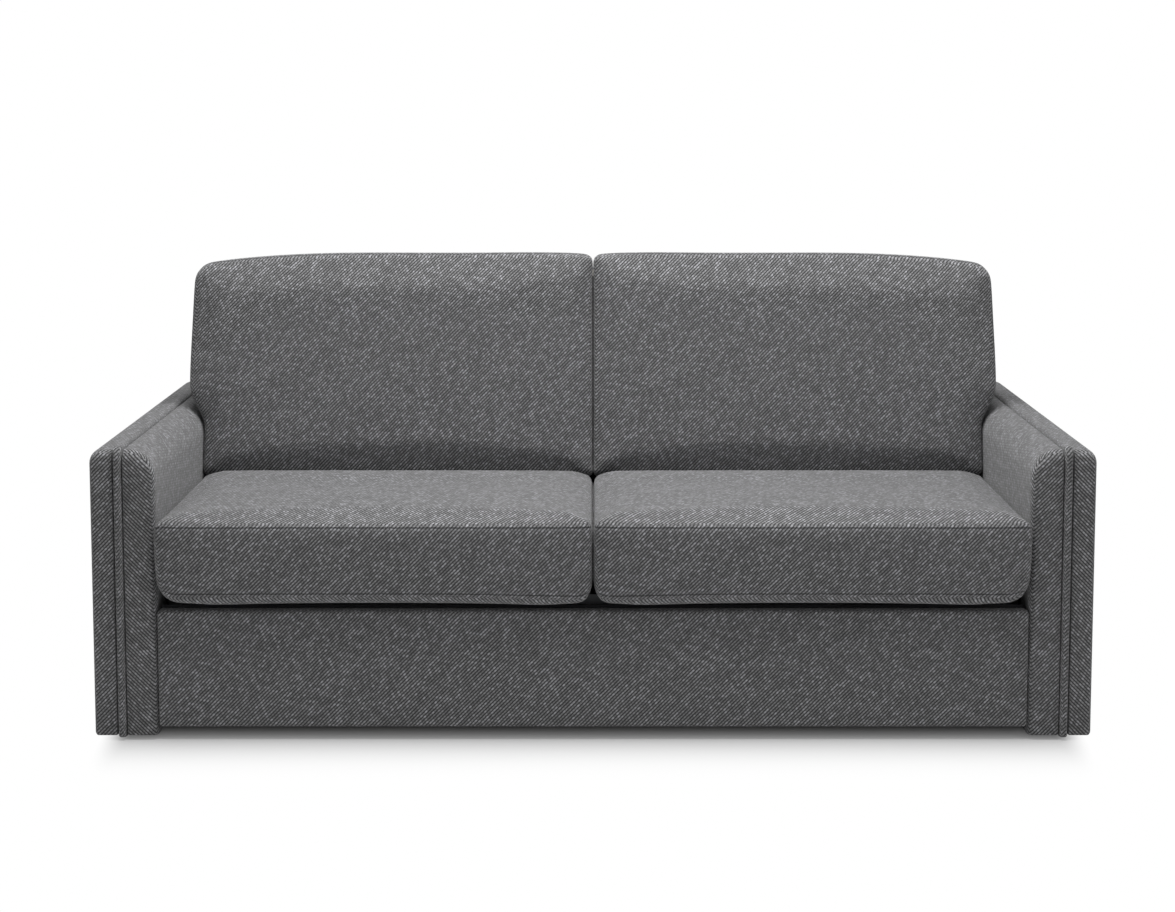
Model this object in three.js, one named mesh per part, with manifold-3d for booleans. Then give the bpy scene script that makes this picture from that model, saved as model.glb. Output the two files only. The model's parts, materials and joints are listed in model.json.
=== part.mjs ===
// Two-seat sofa that unfolds into a three-section bed, in millimetres, +Z up, front towards -Y.
// The seat, the back and the rear cover are the three bed sections. Two swing arms carry the seat section
// backwards while it turns over, so that the seat cushions end inside the base, under the head of the bed.
// The back section follows it forwards and lays flat, the foot section unfolds from behind the back,
// and two bent-tube legs swing down under it.
import * as THREE from 'three';
import { mergeVertices } from 'three/addons/utils/BufferGeometryUtils.js';
import Module from 'manifold-3d';

const wasm = await Module();
wasm.setup();

// Driving sizes of the sofa
const sofaWidth = 1932;
const armWidth = 126;
const armDepth = 970;
const armTop = 568;
const armFloorGap = 6;
const clearance = 0.3;
const interior = sofaWidth / 2 - armWidth;

// Driving places of the fold-out mechanism: y counts backwards from the fronts of the arms
const seatPivot = { y: 105, z: 266 };
const backHingeY = 652;
const swingPivotZ = 50;
const sleepingHeight = 430;
const openBackHingeY = 122;
const reclineDegrees = 100;
const halfTurn = Math.PI;

// The three bed sections
const tube = 20;
const sectionSideGap = 42;
const sectionHalfWidth = interior - sectionSideGap;
const mattress = { sideInset: 33, thickness: 98, endGap: 2, round: 16, drawn: 3, headOverhang: 58 };
const backLength = 600;
const footLength = 705;
const tubeSetBack = 12;
const crossSetBack = 20;
const lug = { thickness: 4.5, offset: 0.5, reach: 14, width: 28, foot: 40 };
const pin = { radius: 5, proud: 3, sides: 16 };
const slat = { width: 58, thickness: 8, rise: 6, count: 4 };

// Swing arms that carry the seat section
const swingArm = {
  thickness: 4.5, width: 34, boss: 22, sideGap: 1, pinRadius: 8, tubeAt: 105, tubeRadius: 12,
};

// Soft parts
const seatCushion = {
  front: 40, rearGap: 147, thickness: 162, sideGap: 7, seam: 3, round: 34, crown: 10, drawn: 4,
  lip: 12, lipFrom: 51, lipOver: 25,
};
const backCushion = {
  start: 135, top: 604, thickness: 162, seam: 3, round: 40, crown: 16, crownShift: 0.3, drawn: 4,
  sideGap: 3, spread: 42, spreadFrom: 312, spreadOver: 46, taper: 14,
};
const backCushionGrid = [14, 12, 6];
const seatCushionGrid = [14, 16, 6];
const mattressGrid = [10, 8, 3];
const gridPull = 1.7;

// Arms: padded inner body, standing welt and outer panel
const armBody = { width: 69, topRound: 54, outerRound: 14, footRound: 12, bevel: 10 };
const welt = { width: 16, proud: 6, round: 7, bevel: 5, sunk: 3 };
const armPanel = { topRound: 28, innerRound: 12, footRound: 14, bevel: 10 };

// Base
const frontPanel = { thickness: 28, bottom: 25, top: 255, round: 14, bevel: 8 };
const rearRail = { thickness: 25, bottom: 30, top: 105 };
const sideRail = { innerGap: 37, outerGap: 7, bottom: 25, top: 85 };
const glide = { radius: 22, rim: 19, setIn: 70, sides: 20 };

// Rear cover and legs of the foot section
const rearCover = { start: 46, thickness: 15, edge: 5, round: 18, bevel: 4 };
const leg = {
  sideInset: 50, radius: 11, sides: 10, bend: 36, bendSteps: 4, drop: 41, pastPivot: 8,
  fromEnd: 55, fromHinge: 67, floorGap: 1, stub: 6, lugThickness: 4.5, lugWidth: 30, lugFoot: 8,
};

const overrun = 1;
const outlineSteps = 10;
const cornerSteps = 7;
const bevelSteps = 3;
const weldTolerance = 0.001;

const looks = {
  wool: { color: 0x5c5d61, roughness: 0.95, metalness: 0 },
  woolDark: { color: 0x4b4c50, roughness: 0.95, metalness: 0 },
  ticking: { color: 0xe4e2dc, roughness: 0.9, metalness: 0 },
  blackSteel: { color: 0x26272a, roughness: 0.5, metalness: 0.6 },
  zinc: { color: 0xa9abad, roughness: 0.35, metalness: 0.9 },
  beech: { color: 0xc99f68, roughness: 0.6, metalness: 0 },
  plastic: { color: 0x1b1b1c, roughness: 0.6, metalness: 0 },
};
const materials = Object.fromEntries(
  Object.entries(looks).map(([name, look]) => [name, new THREE.MeshStandardMaterial(look)]),
);

const axisX = new THREE.Vector3(1, 0, 0);
const axisY = new THREE.Vector3(0, 1, 0);
const axisZ = new THREE.Vector3(0, 0, 1);

// Turns a shape drawn across the sofa, in x and z, into a solid that runs from the rear to the front
function alongDepth(geometry, rearY) {
  const turned = geometry.applyMatrix4(new THREE.Matrix4().makeBasis(axisX, axisZ, axisY.clone().negate()));
  return turned.translate(0, rearY, 0);
}

// Turns a shape drawn from the side, in y and z, into a solid that runs across the sofa
function alongWidth(geometry, startX) {
  return geometry.applyMatrix4(new THREE.Matrix4().makeBasis(axisY, axisZ, axisX)).translate(startX, 0, 0);
}

function named(name, geometry, material) {
  const piece = new THREE.Mesh(geometry, material);
  piece.name = name;
  return piece;
}

function block([x0, x1], [y0, y1], [z0, z1]) {
  const solid = new THREE.BoxGeometry(x1 - x0, y1 - y0, z1 - z0);
  return solid.translate((x0 + x1) / 2, (y0 + y1) / 2, (z0 + z1) / 2);
}

// A round bar along x, centred on y and z
function crossBar([x0, x1], y, z, radius, sides) {
  const bar = new THREE.CylinderGeometry(radius, radius, x1 - x0, sides);
  return bar.rotateZ(-halfTurn / 2).translate((x0 + x1) / 2, y, z);
}

function toSolid(geometry) {
  const bare = new THREE.BufferGeometry();
  bare.setAttribute('position', geometry.getAttribute('position').clone());
  bare.setIndex(geometry.index ? geometry.index.clone() : null);
  const welded = mergeVertices(bare, weldTolerance);
  return new wasm.Manifold(new wasm.Mesh({
    numProp: 3,
    vertProperties: new Float32Array(welded.getAttribute('position').array),
    triVerts: new Uint32Array(welded.index.array),
  }));
}

function fromSolid(solid) {
  const data = solid.getMesh();
  const geometry = new THREE.BufferGeometry();
  geometry.setAttribute('position', new THREE.BufferAttribute(new Float32Array(data.vertProperties), 3));
  geometry.setIndex(new THREE.BufferAttribute(new Uint32Array(data.triVerts), 1));
  return geometry;
}

// Joins the first list of geometries and cuts the second from them
function carve(bodies, tools = []) {
  let solid = toSolid(bodies[0]);
  for (const body of bodies.slice(1)) solid = solid.add(toSolid(body));
  for (const tool of tools) solid = solid.subtract(toSolid(tool));
  return fromSolid(solid);
}

function mirrored(geometry) {
  const flipped = geometry.clone().applyMatrix4(new THREE.Matrix4().makeScale(-1, 1, 1));
  const order = Array.from(flipped.index.array);
  for (let i = 0; i < order.length; i += 3) [order[i], order[i + 1]] = [order[i + 1], order[i]];
  flipped.setIndex(order);
  return flipped;
}

// Adds a piece on the right side and its mirror image on the left
function addPair(group, name, geometry, material) {
  const indexed = geometry.index ? geometry : mergeVertices(stripped(geometry), weldTolerance);
  group.add(named(`${name}_right`, indexed, material));
  group.add(named(`${name}_left`, mirrored(indexed), material));
}

function stripped(geometry) {
  const bare = geometry.clone();
  bare.deleteAttribute('normal');
  bare.deleteAttribute('uv');
  return bare;
}

// Closes a row of rings, each a loop of as many points, with a point at each end
function loft(rings, firstEnd, lastEnd) {
  const sides = rings[0].length;
  const vertices = [firstEnd, ...rings.flat(), lastEnd];
  const last = vertices.length - 1;
  const faces = [];
  for (let k = 0; k < sides; k += 1) {
    const next = (k + 1) % sides;
    faces.push(0, 1 + next, 1 + k, last, last - sides + k, last - sides + next);
    for (let r = 0; r + 1 < rings.length; r += 1) {
      const [a, b] = [1 + r * sides + k, 1 + r * sides + next];
      faces.push(a, b, a + sides, b, b + sides, a + sides);
    }
  }
  const geometry = new THREE.BufferGeometry().setFromPoints(vertices);
  geometry.setIndex(faces);
  return geometry;
}

// A long block drawn in x and z, with its own radius at each corner and rounded edges at both ends.
// The corners are given from the lower left one round by the lower right one.
function softBlock([x0, x1], [z0, z1], corners, length, bevel) {
  const quarter = halfTurn / 2;
  const signs = [[-1, -1], [1, -1], [1, 1], [-1, 1]];
  const ring = (inset, depth) => corners.flatMap((round, i) => {
    const centreX = signs[i][0] < 0 ? x0 + round : x1 - round;
    const centreZ = signs[i][1] < 0 ? z0 + round : z1 - round;
    return Array.from({ length: cornerSteps + 1 }, (_, k) => {
      const angle = (i + 2 + k / cornerSteps) * quarter;
      const x = centreX + (round - inset) * Math.cos(angle);
      const z = centreZ + (round - inset) * Math.sin(angle);
      return new THREE.Vector3(x, z, depth);
    });
  });
  const rings = [];
  for (let step = 0; step <= bevelSteps; step += 1) {
    const angle = (step / bevelSteps) * quarter;
    rings.push(ring(bevel * (1 - Math.sin(angle)), bevel * (1 - Math.cos(angle))));
  }
  const farEnd = rings.map((points) => points.map((point) => point.clone().setZ(length - point.z)));
  const middle = new THREE.Vector3((x0 + x1) / 2, (z0 + z1) / 2, 0);
  return loft([...rings, ...farEnd.reverse()], middle, middle.clone().setZ(length));
}

// A padded block: rounded edges, a crowned top and sides that draw in between the corners.
// Its grid lines crowd towards the edges, where the surface bends most.
function padded({ size, grid, round, crown = 0, drawn = 0, reshape = (point) => point }) {
  const half = size.map((length) => length / 2);
  const unit = new THREE.BoxGeometry(2, 2, 2, ...grid);
  const places = unit.getAttribute('position');
  const spread = (t) => Math.sign(t) * (1 - (1 - Math.min(Math.abs(t), 1)) ** gridPull);
  for (let i = 0; i < places.count; i += 1) {
    const share = [places.getX(i), places.getY(i), places.getZ(i)].map(spread);
    const outer = share.map((value, axis) => value * half[axis]);
    const reach = half.map((length) => length - round);
    const core = outer.map((value, axis) => THREE.MathUtils.clamp(value, -reach[axis], reach[axis]));
    const away = new THREE.Vector3(...outer.map((value, axis) => value - core[axis]));
    const point = new THREE.Vector3(...core).add(away.setLength(round));
    const [across, along] = [1 - share[0] ** 2, 1 - share[1] ** 2];
    const lift = (point.z + half[2]) / size[2];
    point.z += crown * across * along * lift;
    point.x -= share[0] * drawn * along;
    point.y -= share[1] * drawn * across;
    reshape(point);
    places.setXYZ(i, point.x, point.y, point.z);
  }
  return mergeVertices(stripped(unit), weldTolerance);
}

// A line through points, with one step of an extrusion from each point to the next
class SteppedLine extends THREE.Curve {
  constructor(points) {
    super();
    this.points = points;
  }

  getPoint(t, target = new THREE.Vector3()) {
    const last = this.points.length - 1;
    const from = Math.min(Math.floor(t * last), last - 1);
    return target.lerpVectors(this.points[from], this.points[from + 1], t * last - from);
  }

  getUtoTmapping(u) {
    return u;
  }
}

function bentTube(points, radius, sides) {
  const section = new THREE.Shape().absarc(0, 0, radius, 0, 2 * halfTurn);
  return new THREE.ExtrudeGeometry(section, {
    extrudePath: new SteppedLine(points),
    steps: points.length - 1,
    curveSegments: sides / 2,
  });
}

// Where the swing arms turn: as far from the seat pivot at rest as from the seat pivot of the open bed
const frameHeight = sleepingHeight - tube / 2 - mattress.thickness - mattress.endGap;
const seatFrameLength = backHingeY - seatPivot.y;
const openSeatPivot = { y: openBackHingeY + seatFrameLength, z: frameHeight };
function swingPivot() {
  const { y: y0, z: z0 } = seatPivot;
  const { y: y1, z: z1 } = openSeatPivot;
  const middleY = (y0 + y1) / 2;
  const middleZ = (z0 + z1) / 2;
  return { y: middleY - ((swingPivotZ - middleZ) * (z1 - z0)) / (y1 - y0), z: swingPivotZ };
}
const armPivot = swingPivot();

// Fixed body: arms, front panel, rails and glides
function arm() {
  const bottom = armFloorGap;
  const weltX = interior + armBody.width;
  const panelX = weltX + welt.width;
  const body = softBlock(
    [interior, weltX - clearance],
    [bottom, armTop],
    [armBody.footRound, armBody.footRound, armBody.outerRound, armBody.topRound],
    armDepth,
    armBody.bevel,
  );
  const band = softBlock(
    [weltX, panelX],
    [bottom - welt.sunk, armTop + welt.proud],
    [welt.round, welt.round, welt.round, welt.round],
    armDepth + welt.proud,
    welt.bevel,
  );
  const panel = softBlock(
    [panelX + clearance, sofaWidth / 2],
    [bottom, armTop],
    [armPanel.innerRound, armPanel.footRound, armPanel.topRound, armPanel.innerRound],
    armDepth,
    armPanel.bevel,
  );
  return {
    body: alongDepth(body, armDepth),
    band: alongDepth(band, armDepth),
    panel: alongDepth(panel, armDepth),
  };
}

function addArms(group) {
  const { body, band, panel } = arm();
  addPair(group, 'arm_inner_pad', body, materials.wool);
  addPair(group, 'arm_welt', band, materials.woolDark);
  addPair(group, 'arm_outer_panel', panel, materials.wool);
}

// A low round foot under each end of each arm, wider at the top than where it stands
function addGlides(group) {
  const height = armFloorGap - clearance;
  const middleX = interior + armBody.width / 2;
  for (const [place, y] of [['front', glide.setIn], ['rear', armDepth - glide.setIn]]) {
    const foot = new THREE.CylinderGeometry(glide.radius, glide.rim, height, glide.sides);
    foot.rotateX(halfTurn / 2).translate(middleX, y, height / 2);
    addPair(group, `floor_glide_${place}`, foot, materials.plastic);
  }
}

function addBase(group) {
  const reach = interior - clearance;
  const { round, thickness, bottom, top, bevel } = frontPanel;
  const corners = [round, round, round, round];
  const panel = softBlock([-reach, reach], [bottom, top], corners, thickness, bevel);
  group.add(named('front_panel', alongDepth(panel, thickness), materials.wool));
  const railY = [armDepth - rearRail.thickness, armDepth];
  const rearBoard = block([-reach, reach], railY, [rearRail.bottom, rearRail.top]);
  group.add(named('rear_rail', rearBoard, materials.woolDark));
  const run = [thickness + clearance, railY[0] - clearance];
  const across = [interior - sideRail.innerGap, interior - sideRail.outerGap];
  const rail = block(across, run, [sideRail.bottom, sideRail.top]);
  const bore = swingPin(clearance);
  addPair(group, 'side_rail', carve([rail], [bore]), materials.blackSteel);
  addPair(group, 'swing_arm_pivot', swingPin(0), materials.zinc);
}

// The pin that a swing arm turns on, from inside the rail to the arm's outer face
function swingPin(growth) {
  const inner = interior - sideRail.innerGap - pin.proud;
  const outer = interior - swingArm.sideGap / 2;
  return crossBar([inner, outer], armPivot.y, armPivot.z, swingArm.pinRadius + growth, pin.sides);
}

// The swing arms and the tube that makes them turn together
function swingArmX() {
  const outer = interior - swingArm.sideGap;
  return [outer - swingArm.thickness, outer];
}

function addSwingArms(group) {
  const [x0, x1] = swingArmX();
  const run = new THREE.Vector2(seatPivot.y - armPivot.y, seatPivot.z - armPivot.z);
  const length = run.length();
  const angle = run.angle();
  const halfWidth = swingArm.width / 2;
  const outline = new THREE.Shape();
  outline.absarc(0, 0, swingArm.boss, halfTurn / 2, -halfTurn / 2, false);
  outline.lineTo(length / 2, -halfWidth);
  outline.absarc(length, 0, swingArm.boss, -halfTurn / 2, halfTurn / 2, false);
  outline.lineTo(length / 2, halfWidth);
  const flat = new THREE.ExtrudeGeometry(outline, {
    depth: x1 - x0,
    bevelEnabled: false,
    curveSegments: outlineSteps,
  });
  const bar = alongWidth(flat.rotateZ(angle), x0).translate(0, armPivot.y, armPivot.z);
  const through = [x0 - overrun, x1 + overrun];
  const bore = swingArm.pinRadius + clearance;
  const holes = [armPivot, seatPivot].map(({ y, z }) => crossBar(through, y, z, bore, pin.sides));
  addPair(group, 'swing_arm', carve([bar], holes), materials.blackSteel);
  const reach = x0 - clearance;
  const y = armPivot.y + swingArm.tubeAt * Math.cos(angle);
  const z = armPivot.z + swingArm.tubeAt * Math.sin(angle);
  const tie = crossBar([-reach, reach], y, z, swingArm.tubeRadius, pin.sides);
  group.add(named('swing_arm_tie_tube', tie, materials.blackSteel));
}

// The bed sections are drawn as they lie in the open bed: head towards +y, sleeping side towards +z.
// Their frames lie at z = 0, or one drop below the hinge for the foot section.
const hingeDrop = tube / 2 + mattress.thickness + mattress.endGap;
const besideTube = lug.offset + lug.thickness;
const innerLugX = [-besideTube, -lug.offset].map((gap) => sectionHalfWidth - tube + gap);
const outerLugX = [lug.offset, besideTube].map((gap) => sectionHalfWidth + gap);

// A side tube with hinge plates welded to its inner or outer face
function sideTube([y0, y1], level, plates, bores) {
  const [inner, outer] = [sectionHalfWidth - tube, sectionHalfWidth];
  const parts = [block([inner, outer], [y0, y1], [level - tube / 2, level + tube / 2])];
  for (const { across, along, up } of plates) {
    const inside = across[0] < inner;
    const weld = inside ? [across[1] - overrun, inner + overrun] : [outer - overrun, across[0] + overrun];
    const seam = [Math.max(along[0], y0 + overrun), Math.min(along[1], y1 - overrun)];
    parts.push(block(across, along, up));
    parts.push(block(weld, seam, [level - tube / 2 + overrun, level + tube / 2 - overrun]));
  }
  return carve(parts, bores);
}

function hingeBore(y, z, radius = pin.radius) {
  const reach = [innerLugX[0] - pin.proud, outerLugX[1] + pin.proud];
  return crossBar(reach, y, z, radius, pin.sides);
}

function crossTube(y0, level) {
  const reach = sectionHalfWidth - tube - clearance;
  return block([-reach, reach], [y0, y0 + tube], [level - tube / 2, level + tube / 2]);
}

// A sprung slat: bowed up in the middle, its ends against the side tubes
function sprungSlat(y, level) {
  const reach = sectionHalfWidth - tube - clearance;
  const low = level - slat.thickness / 2;
  const high = level + slat.thickness / 2;
  const outline = new THREE.Shape();
  outline.moveTo(-reach, low);
  outline.quadraticCurveTo(0, low + slat.rise, reach, low);
  outline.lineTo(reach, high);
  outline.quadraticCurveTo(0, high + slat.rise, -reach, high);
  const band = new THREE.ExtrudeGeometry(outline, {
    depth: slat.width,
    bevelEnabled: false,
    curveSegments: outlineSteps,
  });
  return alongDepth(band, y + slat.width / 2);
}

function addSlats(group, name, [y0, y1], level) {
  const pitch = (y1 - y0) / (slat.count + 1);
  for (let i = 1; i <= slat.count; i += 1) {
    group.add(named(`${name}_slat_${i}`, sprungSlat(y0 + i * pitch, level), materials.beech));
  }
}

function mattressPart([y0, y1], level) {
  const pad = padded({
    size: [2 * (sectionHalfWidth - mattress.sideInset), y1 - y0, mattress.thickness],
    grid: mattressGrid,
    round: mattress.round,
    drawn: mattress.drawn,
  });
  const bottom = level + tube / 2 + clearance;
  return pad.translate(0, (y0 + y1) / 2, bottom + mattress.thickness / 2 - clearance / 2);
}

// Seat section: head of the open bed, with the seat cushions under it
function seatCushionPart() {
  const reach = interior - seatCushion.sideGap;
  const rear = seatCushion.rearGap;
  const front = backHingeY + seatCushion.front;
  const { lip, lipFrom, lipOver, thickness } = seatCushion;
  const pad = padded({
    size: [reach - seatCushion.seam / 2, front - rear, thickness],
    grid: seatCushionGrid,
    round: seatCushion.round,
    crown: seatCushion.crown,
    drawn: seatCushion.drawn,
    reshape: (point) => {
      const fromFront = (front - rear) / 2 - point.y;
      const inLip = 1 - THREE.MathUtils.smoothstep(fromFront, lipFrom - lipOver, lipFrom);
      point.z -= lip * inLip * THREE.MathUtils.clamp((-2 * point.z) / thickness, 0, 1);
    },
  });
  pad.rotateY(halfTurn);
  const z = -tube / 2 - clearance - thickness / 2;
  return pad.translate((reach + seatCushion.seam / 2) / 2, (front + rear) / 2, z);
}

function addSeatSection(group) {
  const end = seatFrameLength + mattress.headOverhang;
  const plates = [{ across: outerLugX, along: [-lug.reach, lug.foot], up: [-tube / 2, tube / 2] }];
  const pivotBore = crossBar(
    [sectionHalfWidth - tube - overrun, sectionHalfWidth + overrun],
    seatFrameLength,
    0,
    swingArm.pinRadius + clearance,
    pin.sides,
  );
  const bores = [hingeBore(0, 0, pin.radius + clearance), pivotBore];
  addPair(group, 'seat_side_tube', sideTube([tubeSetBack, end], 0, plates, bores), materials.blackSteel);
  group.add(named('seat_cross_tube_rear', crossTube(crossSetBack, 0), materials.blackSteel));
  group.add(named('seat_cross_tube_front', crossTube(end - tube, 0), materials.blackSteel));
  addSlats(group, 'seat', [crossSetBack + tube, end - tube], 0);
  group.add(named('mattress_head', mattressPart([mattress.endGap, end], 0), materials.ticking));
  addPair(group, 'seat_cushion', seatCushionPart(), materials.wool);
  const pivotX = [sectionHalfWidth - tube - pin.proud, interior - swingArm.sideGap / 2];
  const pivotPin = crossBar(pivotX, seatFrameLength, 0, swingArm.pinRadius, pin.sides);
  addPair(group, 'seat_pivot_pin', pivotPin, materials.zinc);
  addPair(group, 'back_hinge_pin', hingeBore(0, 0), materials.zinc);
}

// Back section: middle of the open bed, with the back cushions under it.
// Each cushion is as wide as the seat between the arms and spreads out over them.
function backCushionPart() {
  const reach = interior - backCushion.sideGap;
  const length = backCushion.top - backCushion.start;
  const width = reach - backCushion.seam / 2;
  const middleY = -(backCushion.start + backCushion.top) / 2;
  const { spread, spreadFrom, spreadOver, taper, crownShift } = backCushion;
  const widen = (point) => {
    const along = -middleY - point.y - spreadFrom;
    const opened = THREE.MathUtils.smoothstep(along, 0, spreadOver);
    const upward = THREE.MathUtils.clamp(along / (backCushion.top - spreadFrom), 0, 1);
    const outward = THREE.MathUtils.clamp(point.x / width + 1 / 2, 0, 1);
    point.x += (spread - taper * upward ** 2) * opened * outward;
  };
  const pad = padded({
    size: [width, length, backCushion.thickness],
    grid: backCushionGrid,
    round: backCushion.round,
    drawn: backCushion.drawn,
    reshape: (point) => {
      const fromCrown = ((2 * point.x) / width + crownShift) / (1 + crownShift);
      const towardsTop = THREE.MathUtils.clamp((-2 * point.y) / length, 0, 1);
      point.y -= backCushion.crown * Math.max(1 - fromCrown ** 2, 0) * towardsTop;
      widen(point);
    },
  });
  const z = -tube / 2 - clearance - backCushion.thickness / 2;
  return pad.translate((reach + backCushion.seam / 2) / 2, middleY, z);
}

function addBackSection(group) {
  const end = -backLength;
  const near = [-lug.foot, lug.reach];
  const far = [end - lug.reach, end + lug.foot];
  const plates = [
    { across: innerLugX, along: near, up: [-tube / 2, tube / 2] },
    { across: outerLugX, along: far, up: [-tube / 2, hingeDrop + lug.reach] },
  ];
  const growth = pin.radius + clearance;
  const bores = [hingeBore(0, 0, growth), hingeBore(end, hingeDrop, growth)];
  const run = [end + lug.reach + overrun, -tubeSetBack];
  addPair(group, 'back_side_tube', sideTube(run, 0, plates, bores), materials.blackSteel);
  const farCross = end + lug.reach + crossSetBack / 2;
  const nearCross = -lug.foot - clearance - tube;
  group.add(named('back_cross_tube_lower', crossTube(nearCross, 0), materials.blackSteel));
  group.add(named('back_cross_tube_upper', crossTube(farCross, 0), materials.blackSteel));
  addSlats(group, 'back', [farCross + tube, nearCross], 0);
  const span = [end + mattress.endGap, -mattress.endGap];
  group.add(named('mattress_middle', mattressPart(span, 0), materials.ticking));
  addPair(group, 'back_cushion', backCushionPart(), materials.wool);
  addPair(group, 'foot_hinge_pin', hingeBore(end, hingeDrop), materials.zinc);
}

// Foot section: folded behind the back at rest, with the rear cover and the two legs
const legLevel = -hingeDrop - leg.drop;
const legHalfWidth = sectionHalfWidth - leg.sideInset;
const legReach = frameHeight - leg.drop - leg.radius - leg.floorGap;
const legPivots = [
  { name: 'mid_leg', y: -leg.fromHinge, towards: -1 },
  { name: 'foot_leg', y: -(footLength - leg.fromEnd), towards: 1 },
];

function addFootSection(group) {
  const level = -hingeDrop;
  const end = -footLength;
  const along = [-lug.width, lug.reach];
  const plates = [{ across: innerLugX, along, up: [level - tube / 2, lug.reach] }];
  for (const { y } of legPivots) {
    plates.push({
      across: innerLugX,
      along: [y - leg.lugWidth / 2, y + leg.lugWidth / 2],
      up: [legLevel - leg.lugFoot, level + tube / 2],
    });
  }
  const bores = [hingeBore(0, 0, pin.radius + clearance)];
  for (const { y } of legPivots) bores.push(hingeBore(y, legLevel, leg.stub + clearance));
  const sides = sideTube([end, -tubeSetBack], level, plates, bores);
  addPair(group, 'foot_side_tube', sides, materials.blackSteel);
  const nearCross = -lug.width - clearance - tube;
  group.add(named('foot_cross_tube_upper', crossTube(nearCross, level), materials.blackSteel));
  group.add(named('foot_cross_tube_lower', crossTube(end, level), materials.blackSteel));
  addSlats(group, 'foot', [end + tube, nearCross], level);
  const span = [end + mattress.endGap, -mattress.endGap];
  group.add(named('mattress_foot', mattressPart(span, level), materials.ticking));
  group.add(named('rear_cover', rearCoverPart(level), materials.wool));
}

// An upholstered board under the foot section's frame, which closes the sofa's rear when it is folded
function rearCoverPart(level) {
  const reach = innerLugX[0] - clearance - rearCover.edge;
  const { start, round, thickness, bevel } = rearCover;
  const corners = [round, round, round, round];
  const board = softBlock([-reach, reach], [start, footLength], corners, thickness, bevel);
  board.applyMatrix4(new THREE.Matrix4().makeBasis(axisX, axisY.clone().negate(), axisZ.clone().negate()));
  return board.translate(0, 0, level - tube / 2 - clearance);
}

// A leg bent from one tube, folded flat; stubs at its ends turn in the foot section's plates
function foldedLeg({ y, towards }) {
  const start = y - towards * leg.pastPivot;
  const far = y + towards * legReach;
  const turn = far - towards * leg.bend;
  const corner = legHalfWidth - leg.bend;
  const points = [new THREE.Vector3(legHalfWidth, start, legLevel)];
  for (let i = 0; i <= leg.bendSteps; i += 1) {
    const angle = (halfTurn / 2) * (i / leg.bendSteps);
    const x = corner + leg.bend * Math.cos(angle);
    points.push(new THREE.Vector3(x, turn + towards * leg.bend * Math.sin(angle), legLevel));
  }
  const other = points.map((point) => new THREE.Vector3(-point.x, point.y, point.z)).reverse();
  const path = [...points, ...other];
  const loop = bentTube(path, leg.radius, leg.sides);
  const stubEnd = sectionHalfWidth - tube;
  const stubs = [
    crossBar([legHalfWidth, stubEnd], y, legLevel, leg.stub, pin.sides),
    crossBar([-stubEnd, -legHalfWidth], y, legLevel, leg.stub, pin.sides),
  ];
  return carve([loop, ...stubs]);
}

// Places a section that turns by so many radians from rest to open, and returns its group
function foldedSection(parent, { y, z }, turn) {
  const section = new THREE.Group();
  section.position.set(0, y, z);
  section.rotation.x = -turn;
  parent.add(section);
  return section;
}

const backTurn = THREE.MathUtils.degToRad(reclineDegrees);
function footHinge() {
  const along = new THREE.Vector3(0, -backLength, hingeDrop).applyAxisAngle(axisX, -backTurn);
  return { y: backHingeY + along.y, z: seatPivot.z + along.z };
}

const sofa = new THREE.Group();
addArms(sofa);
addGlides(sofa);
addBase(sofa);
addSwingArms(sofa);
const backHinge = { y: backHingeY, z: seatPivot.z };
addSeatSection(foldedSection(sofa, backHinge, halfTurn));
addBackSection(foldedSection(sofa, backHinge, backTurn));
const footSection = foldedSection(sofa, footHinge(), backTurn + halfTurn);
addFootSection(footSection);
for (const place of legPivots) footSection.add(named(place.name, foldedLeg(place), materials.blackSteel));

// The origin is on the floor, under the middle of the whole sofa
sofa.updateMatrixWorld(true);
const reach = new THREE.Box3().setFromObject(sofa, true);
sofa.position.y = -(reach.min.y + reach.max.y) / 2;

export default sofa;
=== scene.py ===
import json
import math

import bmesh
import bpy
from mathutils import Matrix, Vector


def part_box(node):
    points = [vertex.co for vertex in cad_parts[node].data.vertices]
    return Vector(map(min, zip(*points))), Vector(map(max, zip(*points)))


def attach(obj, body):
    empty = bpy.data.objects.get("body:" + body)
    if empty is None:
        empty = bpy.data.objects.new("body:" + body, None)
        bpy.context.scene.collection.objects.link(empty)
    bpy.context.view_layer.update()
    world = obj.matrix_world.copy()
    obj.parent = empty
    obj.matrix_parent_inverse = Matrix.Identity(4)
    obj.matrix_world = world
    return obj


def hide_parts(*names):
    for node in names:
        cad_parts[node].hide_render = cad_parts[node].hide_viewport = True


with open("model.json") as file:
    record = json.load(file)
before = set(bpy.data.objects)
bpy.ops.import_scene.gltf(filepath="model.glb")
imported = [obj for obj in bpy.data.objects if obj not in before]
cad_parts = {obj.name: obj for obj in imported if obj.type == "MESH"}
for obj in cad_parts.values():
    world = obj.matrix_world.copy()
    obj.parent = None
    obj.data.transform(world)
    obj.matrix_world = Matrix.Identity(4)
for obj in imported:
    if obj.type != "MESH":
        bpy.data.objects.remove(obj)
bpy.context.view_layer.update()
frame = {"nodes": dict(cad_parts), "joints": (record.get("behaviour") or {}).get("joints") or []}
mm = 0.001
print("frame loaded")

lean = math.radians(10)  # how far the back leans from upright
interior = 840  # from the middle to the inner faces of the arms
places = {joint["name"]: Vector(joint["pos_m"]) for joint in frame["joints"]}


def cadBoxOf(node):
    low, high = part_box(node)
    return low / mm, high / mm


def sidesOf(node):
    low, high = cadBoxOf(node)
    return {"x": (low.x, high.x), "y": (low.y, high.y), "z": (low.z, high.z)}


# Colours and nodes


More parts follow.
